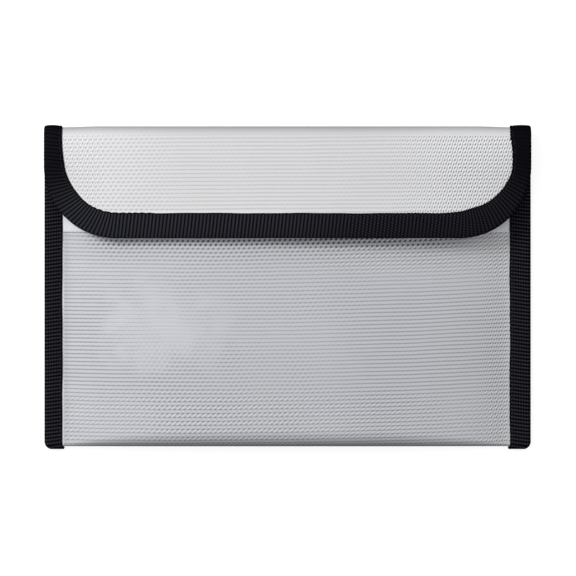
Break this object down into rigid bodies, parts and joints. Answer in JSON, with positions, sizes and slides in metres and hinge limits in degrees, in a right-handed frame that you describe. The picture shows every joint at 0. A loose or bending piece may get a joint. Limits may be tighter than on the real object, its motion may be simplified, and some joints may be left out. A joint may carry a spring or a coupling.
{
  "type": "fire-resistant battery pouch",
  "caption": "Flat flap-top fabric pouch of silver coated cloth with black woven edge binding and a hook-and-loop closure, for storing and charging battery packs.",
  "frame": {"origin": "centre of the base of the bag's box, with the bag lying on its back and the flap closed", "axes": "+X along the flap crease, +Y from the bottom fold to the flap crease, +Z out of the front, up from the table"},
  "size_m": [0.24, 0.16, 0.0179],
  "materials": {
    "coated_fabric": "silver aluminised coating over a plain-woven glass-fibre cloth, satin",
    "felt": "matte needled felt",
    "lining": "plain-woven cloth, matte",
    "binding_tape": "black ribbed polyester tape, matte",
    "loop_tape": "soft napped loop tape",
    "hook_tape": "stiff tape with moulded hooks",
    "thread": "bonded polyester sewing thread"
  },
  "bodies": {
    "pouch": {"front_panel": "coated_fabric", "front_insulation": "felt", "front_lining": "lining", "bottom_fold": "coated_fabric", "bottom_insulation": "felt", "bottom_lining": "lining", "back_panel": "coated_fabric", "back_insulation": "felt", "back_lining": "lining", "left_side_binding": "binding_tape", "right_side_binding": "binding_tape", "mouth_binding": "binding_tape", "loop_tape": "loop_tape", "left_side_thread": "thread", "right_side_thread": "thread", "mouth_thread": "thread", "loop_lower_thread": "thread", "loop_upper_thread": "thread"},
    "crease": {"crease_panel": "coated_fabric", "crease_insulation": "felt", "crease_lining": "lining", "left_crease_binding": "binding_tape", "right_crease_binding": "binding_tape", "left_crease_thread": "thread", "right_crease_thread": "thread"},
    "flap": {"flap_panel": "coated_fabric", "flap_insulation": "felt", "flap_lining": "lining", "flap_binding": "binding_tape", "flap_binding_thread": "thread", "hook_tape": "hook_tape"}
  },
  "joints": [
    {"name": "back_crease", "type": "hinge", "parent": "pouch", "child": "crease", "pos_m": [0, 0.07785, 0.0019], "axis": [-1, 0, 0], "range_deg": [0, 87.5]},
    {"name": "flap_crease", "type": "hinge", "parent": "crease", "child": "flap", "pos_m": [0, 0.07785, 0.0126], "axis": [-1, 0, 0], "range_deg": [0, 87.5]}
  ],
  "couplings": [
    {"joint": "flap_crease", "follows": "back_crease", "ratio": 1}
  ]
}
